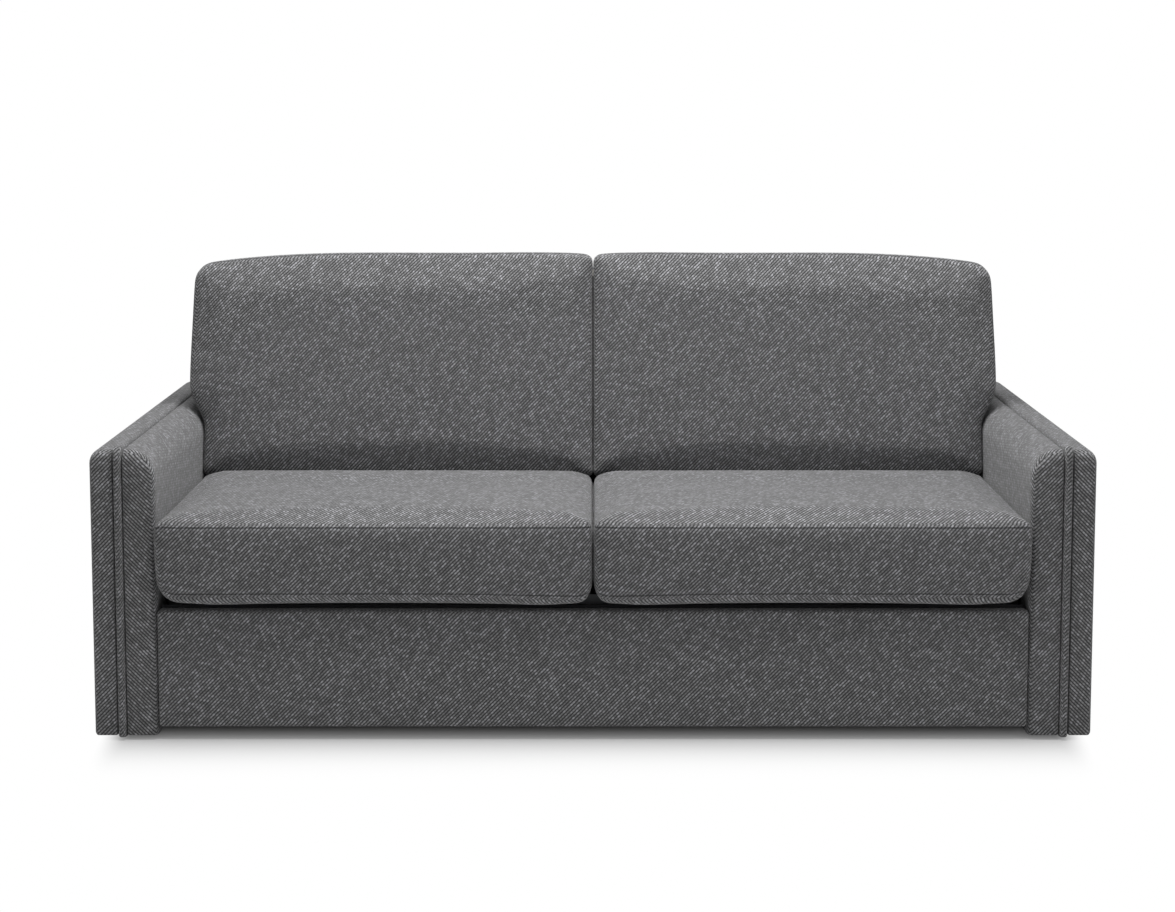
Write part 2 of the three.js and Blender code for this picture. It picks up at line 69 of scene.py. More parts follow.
def linearColour(hexValue):
    parts = [int(hexValue[i : i + 2], 16) / 255 for i in (1, 3, 5)]
    flat = [c / 12.92 if c <= 0.04045 else ((c + 0.055) / 1.055) ** 2.4 for c in parts]
    return (*flat, 1.0)


def addNode(tree, kind, settings=None, links=None):
    # A key is a setting of the node, or else one of its inputs. A link comes from a node or a socket
    node = tree.nodes.new("ShaderNode" + kind)
    for key, value in (settings or {}).items():
        if isinstance(key, str) and hasattr(node, key):
            setattr(node, key, value)
        else:
            node.inputs[key].default_value = value
    for key, source in (links or {}).items():
        socket = source.outputs[0] if isinstance(source, bpy.types.Node) else source
        tree.links.new(socket, node.inputs[key])
    return node


def startMaterial(name):
    material = bpy.data.materials.new(name)
    material.use_nodes = True
    tree = material.node_tree
    tree.nodes.clear()
    return material, tree


def finishMaterial(tree, settings, links, relief):
    strength, depth, height = relief
    bump = addNode(tree, "Bump", {"Strength": strength, "Distance": depth}, {"Height": height})
    shader = addNode(tree, "BsdfPrincipled", settings, {**links, "Normal": bump})
    addNode(tree, "OutputMaterial", None, {"Surface": shader})


def stops(ramp, pairs):
    while len(ramp.elements) < len(pairs):
        ramp.elements.new(0.5)
    for element, (place, colour) in zip(ramp.elements, pairs):
        element.position = place
        element.color = linearColour(colour)


# Wool-mix tweed, woven as a coarse twill: diagonal ribs of mixed light and dark grey yarn, with painted
# shade in the grooves between the ribs and at the ends of each float.
# The ribs are as wide as in the photograph. The single hairs are drawn 1.1 mm wide, coarser than real
# ones, so that they show
twill = {
    "ribPitch": 5.4 * mm,
    "floatLength": 6.5 * mm,
    "floatShift": 0.37,  # of a float, from one rib to the next
    # The next two set the painted shade across each rib and along each float; the second also sets the
    # floats' relief
    "ribShadeContrast": 1.5,
    "floatShadeAndRelief": (0.42, 0.6),
    "wander": 1.2 * mm,
    "wanderOver": 111 * mm,
    "hair": 1.1 * mm,
    "hairRise": 0.35,
    "patch": 10.5 * mm,
    "patchContrast": (0.36, 0.82),
    # Painted shade in the grooves between the ribs
    "paintedGrooveShade": "#1a1a1b",
    "yarns": [(0.0, "#7d7d7e"), (0.45, "#8d8d8e"), (0.8, "#9d9d9f"), (1.0, "#b6b6ba")],
    "flecks": "#8f8d9b",
    "fleckFrom": (0.62, 0.8),
    "fleckShare": 0.35,
    "depth": 0.7 * mm,
    # Painted shade along each seam's crease
    "seam": "#1b1c1e",
    "seamEdge": (0.8 * mm, 3.0 * mm),
    "seamShadeShare": 0.75,
    "seamDepth": -1.6,
    "stitch": "#7d7d80",
    "stitchFromSeam": 6 * mm,
    "stitchWidth": 1.0 * mm,
    "stitchPitch": 7 * mm,
    "stitchShare": 0.62,
    "stitchStrength": 0.45,
}


def wovenTwill(name):
    material, tree = startMaterial(name)
    run = addNode(tree, "UVMap", {"uv_map": "clothRun"})
    u, v = addNode(tree, "SeparateXYZ", None, {0: run}).outputs[:2]
    wander, hair, patches = (
        addNode(tree, "TexNoise", {"Scale": 1 / twill[size], "Detail": detail}, {"Vector": run})
        for size, detail in (("wanderOver", 2.0), ("hair", 3.0), ("patch", 3.0))
    )
    # Ribs run at 45 degrees with a slight wander, and each is a row of short floats of yarn
    drift = addNode(tree, "Math", {"operation": "MULTIPLY", 1: twill["wander"]}, {0: wander})
    across = addNode(tree, "Math", {"operation": "SUBTRACT"}, {0: u, 1: v})
    across = addNode(tree, "Math", {"operation": "ADD"}, {0: across, 1: drift})
    ribWidth = twill["ribPitch"] * math.sqrt(2)
    across = addNode(tree, "Math", {"operation": "DIVIDE", 1: ribWidth}, {0: across})
    ribIndex = addNode(tree, "Math", {"operation": "FLOOR"}, {0: across})
    ribPart = addNode(tree, "Math", {"operation": "FRACT"}, {0: across})
    along = addNode(tree, "Math", {"operation": "ADD"}, {0: u, 1: v})
    floatRun = twill["floatLength"] * math.sqrt(2)
    along = addNode(tree, "Math", {"operation": "DIVIDE", 1: floatRun}, {0: along})
    shift = addNode(tree, "Math", {"operation": "MULTIPLY", 1: twill["floatShift"]}, {0: ribIndex})
    along = addNode(tree, "Math", {"operation": "ADD"}, {0: along, 1: shift})
    floatIndex = addNode(tree, "Math", {"operation": "FLOOR"}, {0: along})
    floatPart = addNode(tree, "Math", {"operation": "FRACT"}, {0: along})
    rounds = []
    for part in (ribPart, floatPart):
        turned = addNode(tree, "Math", {"operation": "MULTIPLY", 1: math.pi}, {0: part})
        rounds.append(addNode(tree, "Math", {"operation": "SINE"}, {0: turned}))
    ribRound, floatRound = rounds
    # Each float has a yarn of its own tone. Painted shade darkens it towards the groove between the
    # ribs, nearly to black, and towards the float's ends
    cell = addNode(tree, "CombineXYZ", None, {0: ribIndex, 1: floatIndex})
    yarn = addNode(tree, "TexWhiteNoise", {"noise_dimensions": "2D"}, {"Vector": cell})
    yarnColour = addNode(tree, "ValToRGB", None, {0: yarn.outputs["Value"]})
    stops(yarnColour.color_ramp, twill["yarns"])
    ribShare = addNode(tree, "Math", {"operation": "POWER", 1: twill["ribShadeContrast"]}, {0: ribRound})
    swing, least = twill["floatShadeAndRelief"]
    floatShare = addNode(
        tree, "Math", {"operation": "MULTIPLY_ADD", 1: swing, 2: least}, {0: floatRound}
    )
    light = addNode(tree, "Math", {"operation": "MULTIPLY"}, {0: ribShare, 1: floatShare})
    yarnOverPaintedShade = addNode(
        tree, "Mix", {"data_type": "RGBA", 6: linearColour(twill["paintedGrooveShade"])}, {0: light, 7: yarnColour}
    )
    start, full = twill["fleckFrom"]
    settings = {"From Min": start, "From Max": full, "To Max": twill["fleckShare"]}
    fleckShare = addNode(tree, "MapRange", settings, {0: hair})
    flecked = addNode(
        tree,
        "Mix",
        {"data_type": "RGBA", 7: linearColour(twill["flecks"])},
        {0: fleckShare, 6: yarnOverPaintedShade.outputs[2]},
    )
    swing, least = twill["patchContrast"]
    tone = addNode(tree, "Math", {"operation": "MULTIPLY_ADD", 1: swing, 2: least}, {0: patches})
    drawn = addNode(tree, "HueSaturation", None, {"Color": flecked.outputs[2], "Value": tone})
    # Seams are measured on the mesh: a dark line of painted shade in each seam's crease, and a row of
    # stitches beside it
    seam = addNode(tree, "Attribute", {"attribute_name": "seamGap"}).outputs["Fac"]
    stitchRun = addNode(tree, "Attribute", {"attribute_name": "seamRun"}).outputs["Fac"]
    start, end = twill["seamEdge"]
    settings = {"From Min": start, "From Max": end, "To Min": twill["seamShadeShare"], "To Max": 0.0}
    line = addNode(tree, "MapRange", settings, {0: seam})
    away = addNode(tree, "Math", {"operation": "SUBTRACT", 1: twill["stitchFromSeam"]}, {0: seam})
    away = addNode(tree, "Math", {"operation": "ABSOLUTE"}, {0: away})
    near = addNode(tree, "Math", {"operation": "LESS_THAN", 1: twill["stitchWidth"]}, {0: away})
    beat = addNode(tree, "Math", {"operation": "DIVIDE", 1: twill["stitchPitch"]}, {0: stitchRun})
    beat = addNode(tree, "Math", {"operation": "FRACT"}, {0: beat})
    dash = addNode(tree, "Math", {"operation": "LESS_THAN", 1: twill["stitchShare"]}, {0: beat})
    stitch = addNode(tree, "Math", {"operation": "MULTIPLY"}, {0: near, 1: dash})
    stitch = addNode(tree, "Math", {"operation": "MULTIPLY", 1: twill["stitchStrength"]}, {0: stitch})
    for colour, share in (("seam", line), ("stitch", stitch)):
        settings = {"data_type": "RGBA", 7: linearColour(twill[colour])}
        drawn = addNode(tree, "Mix", settings, {0: share, 6: drawn}).outputs[2]
    height = addNode(tree, "Math", {"operation": "MULTIPLY"}, {0: ribRound, 1: floatShare})
    fuzz = addNode(tree, "Math", {"operation": "MULTIPLY", 1: twill["hairRise"]}, {0: hair})
    height = addNode(tree, "Math", {"operation": "ADD"}, {0: height, 1: fuzz})
    dip = addNode(tree, "Math", {"operation": "MULTIPLY", 1: twill["seamDepth"]}, {0: line})
    height = addNode(tree, "Math", {"operation": "ADD"}, {0: height, 1: dip})
    surface = {
        "Roughness": 0.93,
        "Specular IOR Level": 0.25,
        "Sheen Weight": 0.18,
        "Sheen Roughness": 0.55,
    }
    finishMaterial(tree, surface, {"Base Color": drawn}, (0.75, twill["depth"], height))
    return material


# Mattress ticking: off-white woven damask, with a grey woven tape at its edges. Its threads are drawn
# 1.6 mm apart, coarser than real ones, so that they show
ticking = {
    "cloth": "#dcd9d1",
    "weft": "#c4c1b9",
    "tape": "#7c7e84",
    "tapeWeft": "#5f6167",
    "pitch": 1.6 * mm,
    "patch": 70 * mm,
    "patchShare": 0.35,
    "weaveShare": 0.5,
}


def wovenTicking(name, colour, weft):
    material, tree = startMaterial(name)
    run = addNode(tree, "UVMap", {"uv_map": "clothRun"})
    waves = []
    for way in addNode(tree, "SeparateXYZ", None, {0: run}).outputs[:2]:
        settings = {"operation": "MULTIPLY", 1: math.pi / ticking["pitch"]}
        wave = addNode(tree, "Math", settings, {0: way})
        for operation in ("SINE", "ABSOLUTE"):
            wave = addNode(tree, "Math", {"operation": operation}, {0: wave})
        waves.append(wave)
    weave = addNode(tree, "Math", {"operation": "MULTIPLY"}, {0: waves[0], 1: waves[1]})
    raised = addNode(tree, "Math", {"operation": "MULTIPLY", 1: ticking["weaveShare"]}, {0: weave})
    patches = addNode(tree, "TexNoise", {"Scale": 1 / ticking["patch"], "Detail": 5.0}, {"Vector": run})
    share = addNode(
        tree, "Math", {"operation": "MULTIPLY_ADD", 1: ticking["patchShare"]}, {0: patches, 2: raised}
    )
    mixed = addNode(
        tree, "Mix", {"data_type": "RGBA", 6: linearColour(weft), 7: linearColour(colour)}, {0: share}
    )
    surface = {"Roughness": 0.88, "Sheen Weight": 0.1}
    finishMaterial(tree, surface, {"Base Color": mixed.outputs[2]}, (0.4, 0.4 * mm, weave))
    return material


# Powder-coated steel: satin black, with the fine orange-peel of baked powder
powderCoat = {"peel": 2.4 * mm, "dust": 143 * mm, "tints": [(0.35, "#202124"), (0.75, "#303236")]}


def blackPowderCoat():
    material, tree = startMaterial("powderCoatedSteel")
    place = addNode(tree, "TexCoord").outputs["Object"]
    peel = addNode(
        tree, "TexNoise", {"Scale": 1 / powderCoat["peel"], "Detail": 3.0}, {"Vector": place}
    )
    dust = addNode(
        tree, "TexNoise", {"Scale": 1 / powderCoat["dust"], "Detail": 6.0}, {"Vector": place}
    )
    tint = addNode(tree, "ValToRGB", None, {0: dust})
    stops(tint.color_ramp, powderCoat["tints"])
    rough = addNode(tree, "MapRange", {"To Min": 0.36, "To Max": 0.56}, {0: dust})
    links = {"Base Color": tint, "Roughness": rough}
    finishMaterial(tree, {"Specular IOR Level": 0.5}, links, (0.25, 0.3 * mm, peel))
    return material


# Zinc-plated steel: bright turned pins, with faint rings and a cool cast. The rings are drawn 1.2 mm
# apart, coarser than a lathe leaves them, so that they show
zincFinish = {"colour": "#b9bbbe", "ringPitch": 1.2 * mm}


def zincPlate():
    material, tree = startMaterial("zincPlatedSteel")
    place = addNode(tree, "TexCoord").outputs["Object"]
    waveLength = math.pi / 10  # of the wave node at a scale of 1
    rings = addNode(
        tree,
        "TexWave",
        {"bands_direction": "X", "Scale": waveLength / zincFinish["ringPitch"], "Distortion": 1.5},
        {"Vector": place},
    ).outputs[1]
    rough = addNode(tree, "MapRange", {"To Min": 0.24, "To Max": 0.4}, {0: rings})
    surface = {"Base Color": linearColour(zincFinish["colour"]), "Metallic": 1.0}
    finishMaterial(tree, surface, {"Roughness": rough}, (0.12, 0.1 * mm, rings))
    return material


# Bent beech: thin layers, glued and lacquered, with long pale grain across the bed and short dark flakes
beechGrain = {
    "length": 139 * mm,
    "width": 6.9 * mm,
    "flakeWidth": 1.04 * mm,
    "flakeShare": 0.3,
    "tints": [(0.3, "#b98d58"), (0.55, "#cda671"), (0.8, "#dcbb8b")],
}


def bentBeech():
    material, tree = startMaterial("lacqueredBeech")
    place = addNode(tree, "TexCoord").outputs["Object"]
    along, across = 1 / beechGrain["length"], 1 / beechGrain["width"]
    stretch = addNode(tree, "Mapping", {"Scale": (along, across, across)}, {"Vector": place})
    grain = addNode(
        tree,
        "TexNoise",
        {"Scale": 1.0, "Detail": 8.0, "Roughness": 0.62, "Distortion": 0.5},
        {"Vector": stretch},
    )
    flakes = addNode(
        tree,
        "TexNoise",
        {"Scale": beechGrain["width"] / beechGrain["flakeWidth"], "Detail": 2.0},
        {"Vector": stretch},
    )
    tint = addNode(tree, "ValToRGB", None, {0: grain})
    stops(tint.color_ramp, beechGrain["tints"])
    darker = addNode(
        tree,
        "Mix",
        {"data_type": "RGBA", "blend_type": "MULTIPLY", 0: beechGrain["flakeShare"]},
        {6: tint, 7: flakes.outputs[1]},
    )
    surface = {"Roughness": 0.42, "Coat Weight": 0.25, "Coat Roughness": 0.3}
    finishMaterial(tree, surface, {"Base Color": darker.outputs[2]}, (0.15, 0.2 * mm, grain))
    return material


# Polypropylene: moulded, matt black, with a fine spark-eroded grain, drawn coarser than the real one
# so that it shows
plasticGrain = {"grit": 0.67 * mm, "tints": [(0.3, "#17181a"), (0.7, "#232427")]}


def mouldedPlastic():
    material, tree = startMaterial("mouldedPolypropylene")
    place = addNode(tree, "TexCoord").outputs["Object"]
    grain = addNode(
        tree, "TexNoise", {"Scale": 1 / plasticGrain["grit"], "Detail": 2.0}, {"Vector": place}
    )
    tint = addNode(tree, "ValToRGB", None, {0: grain})
    stops(tint.color_ramp, plasticGrain["tints"])
    finishMaterial(tree, {"Roughness": 0.55}, {"Base Color": tint}, (0.3, 0.15 * mm, grain))
    return material


# Spunbond lining: thin black cloth of matted fibres, spot-bonded, that closes the frames behind the
# cushions. The same cloth makes the strip of painted shade behind the front panel
liningDots = {"pitch": 2.4 * mm, "tints": [(0.1, "#141416"), (0.6, "#1f2023")]}


def spunbondLining():
    material, tree = startMaterial("spunbondLining")
    place = addNode(tree, "TexCoord").outputs["Object"]
    dots = addNode(tree, "TexVoronoi", {"Scale": 1 / liningDots["pitch"]}, {"Vector": place})
    tint = addNode(tree, "ValToRGB", None, {0: dots})
    stops(tint.color_ramp, liningDots["tints"])
    finishMaterial(tree, {"Roughness": 0.9}, {"Base Color": tint}, (0.3, 0.2 * mm, dots))
    return material


cloth = wovenTwill("wovenWoolTwill")
tickingCloth = wovenTicking("quiltedTicking", ticking["cloth"], ticking["weft"])
tapeCloth = wovenTicking("wovenTape", ticking["tape"], ticking["tapeWeft"])
blackSteel = blackPowderCoat()
zinc = zincPlate()
beech = bentBeech()
plastic = mouldedPlastic()
lining = spunbondLining()
print("materials made")


# Meshes


def linked(name, data):
    thing = bpy.data.objects.new(name, data)
    bpy.context.scene.collection.objects.link(thing)
    return thing


def newPiece(name, vertices, faces, material):
    mesh = bpy.data.meshes.new(name)
    mesh.from_pydata([Vector(v) * mm for v in vertices], [], faces)
    mesh.validate()
    tidy = bmesh.new()
    tidy.from_mesh(mesh)
    bmesh.ops.remove_doubles(tidy, verts=tidy.verts, dist=0.01 * mm)
    bmesh.ops.recalc_face_normals(tidy, faces=tidy.faces)
    tidy.to_mesh(mesh)
    tidy.free()
    mesh.polygons.foreach_set("use_smooth", [True] * len(mesh.polygons))
    mesh.materials.append(material)
    return linked(name, mesh)


def runOfCloth(piece, mirror=1.0):
    # Each panel of cloth is cut flat, so its weave follows the side that it covers
    mesh = piece.data
    layer = mesh.uv_layers.new(name="clothRun")
    sides = [-1] * len(mesh.polygons)
    if "clothSide" in mesh.attributes:
        mesh.attributes["clothSide"].data.foreach_get("value", sides)
    for face, side in zip(mesh.polygons, sides):
        size = [abs(c) for c in face.normal]
        facing = side if side >= 0 else size.index(max(size))
        for corner in face.loop_indices:
            x, y, z = mesh.vertices[mesh.loops[corner].vertex_index].co
            layer.data[corner].uv = ((y, z), (x * mirror, z), (x * mirror, y))[facing]


def setFloats(piece, name, values):
    piece.data.attributes.new(name, "FLOAT", "POINT").data.foreach_set("value", values)


def smoothStep(low, high, value):
    t = min(max((value - low) / (high - low), 0.0), 1.0)
    return t * t * (3 - 2 * t)


def cornerRing(xRange, zRange, corners, depth, steps):
    signs = [(-1, -1), (1, -1), (1, 1), (-1, 1)]
    ring = []
    for i, ((sx, sz), radius) in enumerate(zip(signs, corners)):
        centreX = xRange[0] + radius if sx < 0 else xRange[1] - radius
        centreZ = zRange[0] + radius if sz < 0 else zRange[1] - radius
        for k in range(steps + 1):
            angle = (i + 2 + k / steps) * math.pi / 2
            ring.append((centreX + radius * math.cos(angle), depth, centreZ + radius * math.sin(angle)))
    return ring


def bridged(rings, first=0, closed=False):
    # Faces between rings of points numbered from first, which end in caps or close to a loop
    size = len(rings[0])
    starts = [first + r * size for r in range(len(rings))]
    pairs = list(zip(starts, starts[1:] + starts[:1]))
    faces = []
    for a, b in pairs if closed else pairs[:-1]:
        for k in range(size):
            n = (k + 1) % size
            faces.append((a + k, a + n, b + n, b + k))
    if not closed:
        faces.append(tuple(range(first, first + size)))
        faces.append(tuple(reversed(range(starts[-1], starts[-1] + size))))
    return faces


def upholsteredBlock(name, settings, material):
    # A long padded block: rings from front to rear, rounded in at both ends
    x0, x1 = settings["x"]
    y0, y1 = settings["y"]
    z0, z1 = settings["z"]
    end, corners = settings["end"], settings["corners"]
    topRound = settings.get("endTop", end)
    turns = [k / 8 * math.pi / 2 for k in range(9)]
    rounded = [(1 - math.cos(turn), 1 - math.sin(turn)) for turn in turns]
    stages = [(y0 + depth * topRound, inset) for depth, inset in rounded]
    count = max(int((y1 - y0 - 2 * topRound) / settings.get("spacing", 40)), 1)
    straight = y1 - y0 - topRound - end
    stages += [(y0 + topRound + straight * k / count, 0.0) for k in range(1, count)]
    stages += [(y1 - depth * end, inset) for depth, inset in reversed(rounded)]
    # A long side of a ring gets points in between, as many on every ring
    full = cornerRing((x0, x1), (z0, z1), corners, 0, 8)
    longest = settings.get("longest", 45)
    extras = [int(math.dist(a, b) // longest) for a, b in zip(full, full[1:] + full[:1])]
    rings = []
    for depth, inset in stages:
        low, high = (inset * e for e in settings.get("sideEnds", (end, end)))
        top = inset * (end if depth > (y0 + y1) / 2 else topRound)
        foot = inset * settings.get("endFoot", end)
        turned = (low, high, min(high, top), min(low, top))
        radii = [max(r - t, 0.4) for r, t in zip(corners, turned)]  # no corner gets quite sharp
        ring = cornerRing((x0 + low, x1 - high), (z0 + foot, z1 - top), radii, depth, 8)
        filled = []
        for a, b, extra in zip(ring, ring[1:] + ring[:1], extras):
            filled.append(a)
            for i in range(1, extra + 1):
                t = i / (extra + 1)
                filled.append(tuple(a[k] + (b[k] - a[k]) * t for k in range(3)))
        rings.append(filled)
    piece = newPiece(name, [v for ring in rings for v in ring], bridged(rings), material)
    runOfCloth(piece, settings.get("mirror", 1.0))
    # Its points are out of a seam's reach
    setFloats(piece, "seamGap", [1.0] * len(piece.data.vertices))
    setFloats(piece, "seamRun", [0.0] * len(piece.data.vertices))
    return piece


def puffedBox(name, settings, material):
    # A boxed cushion before it is filled: a fine grid, rounded, with its seams marked on the grid
    width, depth, height = settings["size"]
    step = settings["step"]
    counts = [max(int(round(length / step)), 4) for length in (width, depth, height)]
    half = (width / 2, depth / 2, height / 2)
    points, faces, facing, index = [], [], [], {}

    def gridPoint(i, j, k):
        key = (i, j, k)
        if key not in index:
            index[key] = len(points)
            points.append(tuple(2 * n / c - 1 for n, c in zip(key, counts)))
        return index[key]

    for axis in range(3):
        u, v = (axis + 1) % 3, (axis + 2) % 3
        for side in (0, counts[axis]):
            for a in range(counts[u]):
                for b in range(counts[v]):
                    corner = []
                    for da, db in ((0, 0), (1, 0), (1, 1), (0, 1)):
                        place = [0, 0, 0]
                        place[axis], place[u], place[v] = side, a + da, b + db
                        corner.append(gridPoint(*place))
                    faces.append(tuple(corner if side else reversed(corner)))
                    facing.append(axis)
    # Each seam is moved to the nearest row of points, so that its line is drawn sharply
    panelAxis = settings["panelAxis"]
    edge = half[panelAxis]
    row = 2 * edge / counts[panelAxis]
    seams = [round((place + edge) / row) * row - edge for place in settings["seams"]]
    gaps, runs, placed = [], [], []
    for share in points:
        # The edges' round changes from the low end to the high one, and towards the sofa's middle
        outer = [s * h for s, h in zip(share, half)]
        upper = smoothStep(-0.6, 0.6, share[2])
        radius = settings["lowRound"] + (settings["highRound"] - settings["lowRound"]) * upper
        inner = 1 - smoothStep(-0.95, -0.3, share[0])
        shares = zip(settings["roundShares"], settings["innerShares"])
        radii = [radius * r * (1 + (i - 1) * inner) for r, i in shares]
        core = [min(max(o, r - h), h - r) for o, h, r in zip(outer, half, radii)]
        away = Vector((o - c) / r for o, c, r in zip(outer, core, radii))
        if away.length:
            away.normalize()
        point = Vector(c + a * r for c, a, r in zip(core, away, radii))
        gap = min(abs(outer[panelAxis] - place) for place in seams)
        inPanel = max(abs(share[i]) for i in range(3) if i != panelAxis) < 0.999
        gaps.append(1.0 if inPanel else gap * mm)
        runs.append((outer[0] + outer[1]) * mm)
        placed.append(tuple(settings["reshape"](point, share)))
    mesh = bpy.data.meshes.new(name)
    mesh.from_pydata([Vector(v) * mm for v in placed], [], faces)
    mesh.materials.append(material)
    piece = linked(name, mesh)
    mesh.attributes.new("clothSide", "INT", "FACE").data.foreach_set("value", facing)
    setFloats(piece, "seamGap", gaps)
    setFloats(piece, "seamRun", runs)
    return piece


def subdivided(piece):
    finer = piece.modifiers.new("finer", "SUBSURF")
    finer.levels = finer.render_levels = 1
    bpy.context.view_layer.update()
    view = bpy.context.evaluated_depsgraph_get()
    done = bpy.data.meshes.new_from_object(piece.evaluated_get(view))
    piece.modifiers.clear()
    piece.data = done
    done.polygons.foreach_set("use_smooth", [True] * len(done.polygons))
    return piece


# The cover's cloth in the simulation, with the foam as a pressure inside it
coverFrames = 20  # the cover is full by then
coverCloth = {
    "quality": 5,
    "mass": 0.35,
    "tension_stiffness": 18,
    "compression_stiffness": 18,
    "shear_stiffness": 8,
    "bending_stiffness": 6,
    "use_pressure": True,
    "uniform_pressure_force": 4.0,
    "vertex_group_mass": "seams",
    "pin_stiffness": 2.0,
}
seamHold = 0.8  # 1 would keep a seam's points quite still
seamReach = {"held": 0.6, "pulled": 1.2}  # from a seam, in steps of the grid


def fillWithFoam(piece, settings):
    # The cover is blown out by the foam; seams hold it in, and no point moves further than the cap
    step, cap = settings["step"] * mm, settings["cap"] * mm
    rest = [v.co.copy() for v in piece.data.vertices]
    gaps = [0.0] * len(rest)
    piece.data.attributes["seamGap"].data.foreach_get("value", gaps)
    held = piece.vertex_groups.new(name="seams")
    for i, gap in enumerate(gaps):
        if gap < step * seamReach["held"]:
            held.add([i], seamHold, "REPLACE")
    modifier = piece.modifiers.new("cover", "CLOTH")
    for key, value in coverCloth.items():
        setattr(modifier.settings, key, value)
    modifier.settings.effector_weights.gravity = 0.0
    modifier.collision_settings.use_collision = False
    modifier.point_cache.frame_start = 1
    modifier.point_cache.frame_end = coverFrames
    scene = bpy.context.scene
    for number in range(1, coverFrames + 1):
        scene.frame_set(number)
    view = bpy.context.evaluated_depsgraph_get()
    blown = piece.evaluated_get(view).to_mesh()
    moved = [v.co.copy() for v in blown.vertices]
    piece.evaluated_get(view).to_mesh_clear()
    piece.modifiers.remove(modifier)
    piece.vertex_groups.clear()
    scene.frame_set(1)
    for vertex, before, after in zip(piece.data.vertices, rest, moved):
        shift = after - before
        if shift.length > cap:
            shift = shift.normalized() * cap
        vertex.co = before + shift
    piece.data.update()
    for vertex, gap in zip(piece.data.vertices, gaps):
        pulled = 1 - smoothStep(0.0, step * seamReach["pulled"], gap)
        vertex.co -= vertex.normal * settings["pull"] * mm * pulled
    low, high = settings["keepLow"], settings["keepHigh"]
    for vertex in piece.data.vertices:
        for axis in range(3):
            vertex.co[axis] = min(max(vertex.co[axis], low[axis] * mm), high[axis] * mm)
    return subdivided(piece)


def mirroredCopy(piece, name):
    twin = linked(name, piece.data.copy())
    twin.data.transform(Matrix.Scale(-1, 4, Vector((1, 0, 0))))
    twin.data.flip_normals()
    runOfCloth(twin)
    return twin


def tilted(piece, place, angle):
    piece.matrix_world = Matrix.Translation(place) @ Matrix.Rotation(angle, 4, "X")


# Arms: a soft padded body inside, a flat panel outside, and a standing welt between them. The settings
# are the right arm's: x from inside to outside, None where the solid ends, and the corners' rounds at
# the inner foot, outer foot, outer top and inner top. The mirrors set which way the ribs lean
armTopEdge = 54
armLook = {
    "armPad": {
        "node": "arm_inner_pad",
        "x": (None, 901.5),
        "end": 12,
        "endTop": 20,
        "endFoot": 5,
        "sideEnds": (12, 2),
        "corners": (8, 5, 7, armTopEdge),
        "mirrors": {"right": 1.0, "left": -1.0},
    },
    "armWelt": {
        "node": "arm_welt",
        "x": (901.5, 919.5),
        "end": 6.5,
        "endTop": 22,
        "endFoot": 6.5,
        "sideEnds": (6.5, 6.5),
        "corners": (6.5, 6.5, 6.5, 6.5),
        "mirrors": {"right": 1.0, "left": 1.0},
    },
    "armPanel": {
        "node": "arm_outer_panel",
        "x": (919.5, None),
        "end": 11,
        "endTop": 20,
        "endFoot": 5,
        "sideEnds": (2, 11),
        "corners": (5, 9, 27, 3),
        "mirrors": {"right": -1.0, "left": 1.0},
    },
}


def dressArms():
    for side, sign in (("right", 1), ("left", -1)):
        for name, look in armLook.items():
            node = f"{look['node']}_{side}"
            sides = sidesOf(node)
            edges = [x and sign * x for x in look["x"]][::sign]
            settings = {**look, **sides, "mirror": look["mirrors"][side]}
            settings["x"] = [edge or solid for edge, solid in zip(edges, sides["x"])]
            settings["sideEnds"] = look["sideEnds"][::sign]
            if side == "left":
                settings["corners"] = [look["corners"][i] for i in (1, 0, 3, 2)]
            piece = upholsteredBlock(f"{name}_{side}", settings, cloth)
            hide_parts(node)
            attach(piece, "base")


# Front panel and rear rail. A black strip behind the panel is painted shade, which darkens the gap below
# the seat cushions
panelLook = {"end": 7, "corners": (6, 6, 8, 8)}
shadeStripLook = {"z": (236, 259.5), "end": 0.6, "corners": (1.5, 1.5, 1.5, 1.5), "longest": 200}
shadeStripRoom = {"inset": 4, "gap": 0.4, "thickness": 2}
railLook = {"end": 3, "corners": (3, 3, 3, 3)}


def dressBase():
    sides = sidesOf("front_panel")
    panel = upholsteredBlock("frontPanel", {**sides, **panelLook}, cloth)
    x0, x1 = sides["x"]
    start = sides["y"][1] + shadeStripRoom["gap"]
    settings = {
        "x": (x0 + shadeStripRoom["inset"], x1 - shadeStripRoom["inset"]),
        "y": (start, start + shadeStripRoom["thickness"]),
        **shadeStripLook,
    }
    # A dark strip of painted shade in the gap below the seat cushions
    shadeStrip = upholsteredBlock("frontPanelShadeStrip", settings, lining)
    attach(shadeStrip, "base")
    rail = upholsteredBlock("rearRail", {**sidesOf("rear_rail"), **railLook}, cloth)
    for piece, node, slotName in (
        (panel, "front_panel", "grey_twill"),
        (rail, "rear_rail", "dark_grey_twill"),
    ):
        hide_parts(node)
        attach(piece, "base")


# Seat cushions
seatLook = {
    "step": 13,
    "reach": (0.4, 839.5),  # from the sofa's middle
    "slack": (1, 4),  # across and along, that the foam fills
    "puff": 16,
    "seamsAt": (11, 13),  # below its upper face, and above its lower one
    "lip": 12,
    "lipOver": (26, 51),  # from its front
    "crown": 9,
    "sink": 2,
    "bulge": (4, 6),  # past its solid, in front and above
    "barRoom": {"line": ((-123.6, 536), (-382.4, 266)), "x": 833.6, "from": 27, "to": 50},
    "tubeRoom": {"y": -196.3, "z": 447.6, "rise": 5, "from": 22, "to": 100},
    "drawn": 3,
    "cornerDrop": 6,
    "lowRound": 46,
    "highRound": 19,
    "roundShares": (1.0, 0.5, 1.0),
    "innerShares": (0.6, 1.0, 0.75),
    "panelAxis": 2,
    "cap": 9,
    "pull": 1.2,
}


